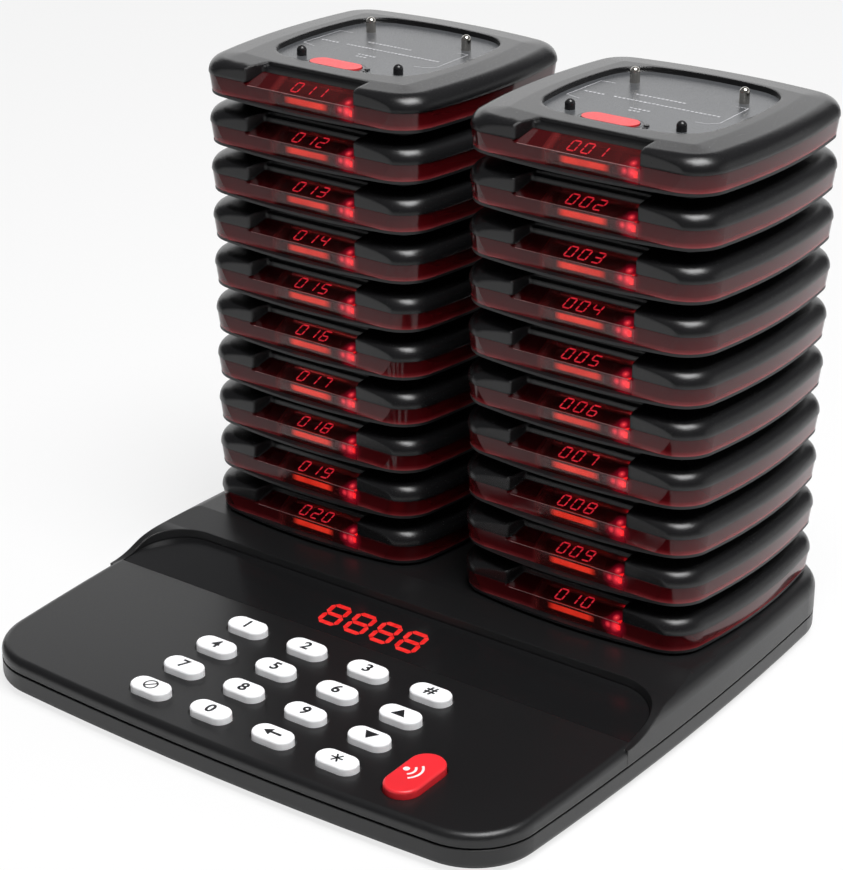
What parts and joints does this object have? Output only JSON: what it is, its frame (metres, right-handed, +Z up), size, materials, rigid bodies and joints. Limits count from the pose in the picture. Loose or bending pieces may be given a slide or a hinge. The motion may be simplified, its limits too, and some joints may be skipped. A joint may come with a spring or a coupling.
{
  "type": "guest pager system",
  "caption": "Keypad base with a display strip and two charging stacks of lift-off coaster pagers, each with a lit lens, number window and button",
  "frame": {"origin": "middle of the base footprint, on the plane the four rubber feet stand on", "axes": "+Z up, -Y towards the keypad and the person using it, +X to that person's right"},
  "size_m": [0.219, 0.2189, 0.1958],
  "materials": {
    "base_plastic": "satin moulded ABS with a fine grain",
    "smoked_window": "gloss smoked acrylic",
    "white_key": "satin moulded",
    "red_key": "satin moulded",
    "pager_plastic": "satin moulded ABS",
    "red_lens": "clear red polycarbonate, polished",
    "red_button": "satin moulded",
    "pin_plating": "polished nickel plating",
    "black_resin": "satin",
    "display_resin": "lit red segments under a dark face",
    "board_laminate": "solder mask",
    "switch_resin": "satin",
    "screw_steel": "zinc plated",
    "foot_rubber": "matt"
  },
  "bodies": {
    "base": {"base_lower_shell": "base_plastic", "base_upper_shell": "base_plastic", "display_window": "smoked_window", "display_module": "display_resin", "circuit_board": "board_laminate", "key_switches": "switch_resin", "board_screws": "screw_steel", "rubber_feet": "foot_rubber", "base_screws": "screw_steel", "dock_charging_pins": "pin_plating", "dock_locating_pins": "black_resin"},
    "key_a1": {"key_a1": "white_key"},
    "key_a2": {"key_a2": "white_key"},
    "key_a3": {"key_a3": "white_key"},
    "key_a4": {"key_a4": "white_key"},
    "key_b1": {"key_b1": "white_key"},
    "key_b2": {"key_b2": "white_key"},
    "key_b3": {"key_b3": "white_key"},
    "key_b4": {"key_b4": "white_key"},
    "key_c1": {"key_c1": "white_key"},
    "key_c2": {"key_c2": "white_key"},
    "key_c3": {"key_c3": "white_key"},
    "key_c4": {"key_c4": "white_key"},
    "key_d1": {"key_d1": "white_key"},
    "key_d2": {"key_d2": "white_key"},
    "key_d3": {"key_d3": "white_key"},
    "key_d4": {"key_d4": "white_key"},
    "key_call": {"key_call": "red_key"},
    "pager_010": {"pager_010": "pager_plastic"},
    "pager_009": {"pager_009": "pager_plastic"},
    "pager_008": {"pager_008": "pager_plastic"},
    "pager_007": {"pager_007": "pager_plastic"},
    "pager_006": {"pager_006": "pager_plastic"},
    "pager_005": {"pager_005": "pager_plastic"},
    "pager_004": {"pager_004": "pager_plastic"},
    "pager_003": {"pager_003": "pager_plastic"},
    "pager_002": {"pager_002": "pager_plastic"},
    "pager_001": {"pager_001_top_shell": "pager_plastic", "pager_001_lens_body": "red_lens", "pager_001_bottom_cover": "pager_plastic", "pager_001_display": "display_resin", "pager_001_charging_pins": "pin_plating", "pager_001_locating_pins": "black_resin"},
    "pager_001_button": {"pager_001_button": "red_button"},
    "pager_020": {"pager_020": "pager_plastic"},
    "pager_019": {"pager_019": "pager_plastic"},
    "pager_018": {"pager_018": "pager_plastic"},
    "pager_017": {"pager_017": "pager_plastic"},
    "pager_016": {"pager_016": "pager_plastic"},
    "pager_015": {"pager_015": "pager_plastic"},
    "pager_014": {"pager_014": "pager_plastic"},
    "pager_013": {"pager_013": "pager_plastic"},
    "pager_012": {"pager_012": "pager_plastic"},
    "pager_011": {"pager_011_top_shell": "pager_plastic", "pager_011_lens_body": "red_lens", "pager_011_bottom_cover": "pager_plastic", "pager_011_display": "display_resin", "pager_011_charging_pins": "pin_plating", "pager_011_locating_pins": "black_resin"},
    "pager_011_button": {"pager_011_button": "red_button"}
  },
  "joints": [
    {"name": "key_a1_press", "type": "slide", "parent": "base", "child": "key_a1", "axis": [0, -0.0234, 0.9997], "range_m": [-0.0008, 0], "stiffness_N_per_m": 300, "springref_m": 0.0003},
    {"name": "key_a2_press", "type": "slide", "parent": "base", "child": "key_a2", "axis": [0, -0.0234, 0.9997], "range_m": [-0.0008, 0], "stiffness_N_per_m": 300, "springref_m": 0.0003},
    {"name": "key_a3_press", "type": "slide", "parent": "base", "child": "key_a3", "axis": [0, -0.0234, 0.9997], "range_m": [-0.0008, 0], "stiffness_N_per_m": 300, "springref_m": 0.0003},
    {"name": "key_a4_press", "type": "slide", "parent": "base", "child": "key_a4", "axis": [0, -0.0234, 0.9997], "range_m": [-0.0008, 0], "stiffness_N_per_m": 300, "springref_m": 0.0003},
    {"name": "key_b1_press", "type": "slide", "parent": "base", "child": "key_b1", "axis": [0, -0.0234, 0.9997], "range_m": [-0.0008, 0], "stiffness_N_per_m": 300, "springref_m": 0.0003},
    {"name": "key_b2_press", "type": "slide", "parent": "base", "child": "key_b2", "axis": [0, -0.0234, 0.9997], "range_m": [-0.0008, 0], "stiffness_N_per_m": 300, "springref_m": 0.0003},
    {"name": "key_b3_press", "type": "slide", "parent": "base", "child": "key_b3", "axis": [0, -0.0234, 0.9997], "range_m": [-0.0008, 0], "stiffness_N_per_m": 300, "springref_m": 0.0003},
    {"name": "key_b4_press", "type": "slide", "parent": "base", "child": "key_b4", "axis": [0, -0.0234, 0.9997], "range_m": [-0.0008, 0], "stiffness_N_per_m": 300, "springref_m": 0.0003},
    {"name": "key_c1_press", "type": "slide", "parent": "base", "child": "key_c1", "axis": [0, -0.0234, 0.9997], "range_m": [-0.0008, 0], "stiffness_N_per_m": 300, "springref_m": 0.0003},
    {"name": "key_c2_press", "type": "slide", "parent": "base", "child": "key_c2", "axis": [0, -0.0234, 0.9997], "range_m": [-0.0008, 0], "stiffness_N_per_m": 300, "springref_m": 0.0003},
    {"name": "key_c3_press", "type": "slide", "parent": "base", "child": "key_c3", "axis": [0, -0.0234, 0.9997], "range_m": [-0.0008, 0], "stiffness_N_per_m": 300, "springref_m": 0.0003},
    {"name": "key_c4_press", "type": "slide", "parent": "base", "child": "key_c4", "axis": [0, -0.0234, 0.9997], "range_m": [-0.0008, 0], "stiffness_N_per_m": 300, "springref_m": 0.0003},
    {"name": "key_d1_press", "type": "slide", "parent": "base", "child": "key_d1", "axis": [0, -0.0234, 0.9997], "range_m": [-0.0008, 0], "stiffness_N_per_m": 300, "springref_m": 0.0003},
    {"name": "key_d2_press", "type": "slide", "parent": "base", "child": "key_d2", "axis": [0, -0.0234, 0.9997], "range_m": [-0.0008, 0], "stiffness_N_per_m": 300, "springref_m": 0.0003},
    {"name": "key_d3_press", "type": "slide", "parent": "base", "child": "key_d3", "axis": [0, -0.0234, 0.9997], "range_m": [-0.0008, 0], "stiffness_N_per_m": 300, "springref_m": 0.0003},
    {"name": "key_d4_press", "type": "slide", "parent": "base", "child": "key_d4", "axis": [0, -0.0234, 0.9997], "range_m": [-0.0008, 0], "stiffness_N_per_m": 300, "springref_m": 0.0003},
    {"name": "key_call_press", "type": "slide", "parent": "base", "child": "key_call", "axis": [0, -0.0234, 0.9997], "range_m": [-0.0008, 0], "stiffness_N_per_m": 300, "springref_m": 0.0003},
    {"name": "pager_010_lift", "type": "slide", "parent": "base", "child": "pager_010", "axis": [0, 0, 1], "range_m": [0, 0.02]},
    {"name": "pager_009_lift", "type": "slide", "parent": "pager_010", "child": "pager_009", "axis": [0, 0, 1], "range_m": [0, 0.02]},
    {"name": "pager_008_lift", "type": "slide", "parent": "pager_009", "child": "pager_008", "axis": [0, 0, 1], "range_m": [0, 0.02]},
    {"name": "pager_007_lift", "type": "slide", "parent": "pager_008", "child": "pager_007", "axis": [0, 0, 1], "range_m": [0, 0.02]},
    {"name": "pager_006_lift", "type": "slide", "parent": "pager_007", "child": "pager_006", "axis": [0, 0, 1], "range_m": [0, 0.02]},
    {"name": "pager_005_lift", "type": "slide", "parent": "pager_006", "child": "pager_005", "axis": [0, 0, 1], "range_m": [0, 0.02]},
    {"name": "pager_004_lift", "type": "slide", "parent": "pager_005", "child": "pager_004", "axis": [0, 0, 1], "range_m": [0, 0.02]},
    {"name": "pager_003_lift", "type": "slide", "parent": "pager_004", "child": "pager_003", "axis": [0, 0, 1], "range_m": [0, 0.02]},
    {"name": "pager_002_lift", "type": "slide", "parent": "pager_003", "child": "pager_002", "axis": [0, 0, 1], "range_m": [0, 0.02]},
    {"name": "pager_001_lift", "type": "slide", "parent": "pager_002", "child": "pager_001", "axis": [0, 0, 1], "range_m": [0, 0.02]},
    {"name": "pager_001_button_press", "type": "slide", "parent": "pager_001", "child": "pager_001_button", "axis": [0, 0, 1], "range_m": [-0.0004, 0], "stiffness_N_per_m": 400, "springref_m": 0.0002},
    {"name": "pager_020_lift", "type": "slide", "parent": "base", "child": "pager_020", "axis": [0, 0, 1], "range_m": [0, 0.02]},
    {"name": "pager_019_lift", "type": "slide", "parent": "pager_020", "child": "pager_019", "axis": [0, 0, 1], "range_m": [0, 0.02]},
    {"name": "pager_018_lift", "type": "slide", "parent": "pager_019", "child": "pager_018", "axis": [0, 0, 1], "range_m": [0, 0.02]},
    {"name": "pager_017_lift", "type": "slide", "parent": "pager_018", "child": "pager_017", "axis": [0, 0, 1], "range_m": [0, 0.02]},
    {"name": "pager_016_lift", "type": "slide", "parent": "pager_017", "child": "pager_016", "axis": [0, 0, 1], "range_m": [0, 0.02]},
    {"name": "pager_015_lift", "type": "slide", "parent": "pager_016", "child": "pager_015", "axis": [0, 0, 1], "range_m": [0, 0.02]},
    {"name": "pager_014_lift", "type": "slide", "parent": "pager_015", "child": "pager_014", "axis": [0, 0, 1], "range_m": [0, 0.02]},
    {"name": "pager_013_lift", "type": "slide", "parent": "pager_014", "child": "pager_013", "axis": [0, 0, 1], "range_m": [0, 0.02]},
    {"name": "pager_012_lift", "type": "slide", "parent": "pager_013", "child": "pager_012", "axis": [0, 0, 1], "range_m": [0, 0.02]},
    {"name": "pager_011_lift", "type": "slide", "parent": "pager_012", "child": "pager_011", "axis": [0, 0, 1], "range_m": [0, 0.02]},
    {"name": "pager_011_button_press", "type": "slide", "parent": "pager_011", "child": "pager_011_button", "axis": [0, 0, 1], "range_m": [-0.0004, 0], "stiffness_N_per_m": 400, "springref_m": 0.0002}
  ]
}
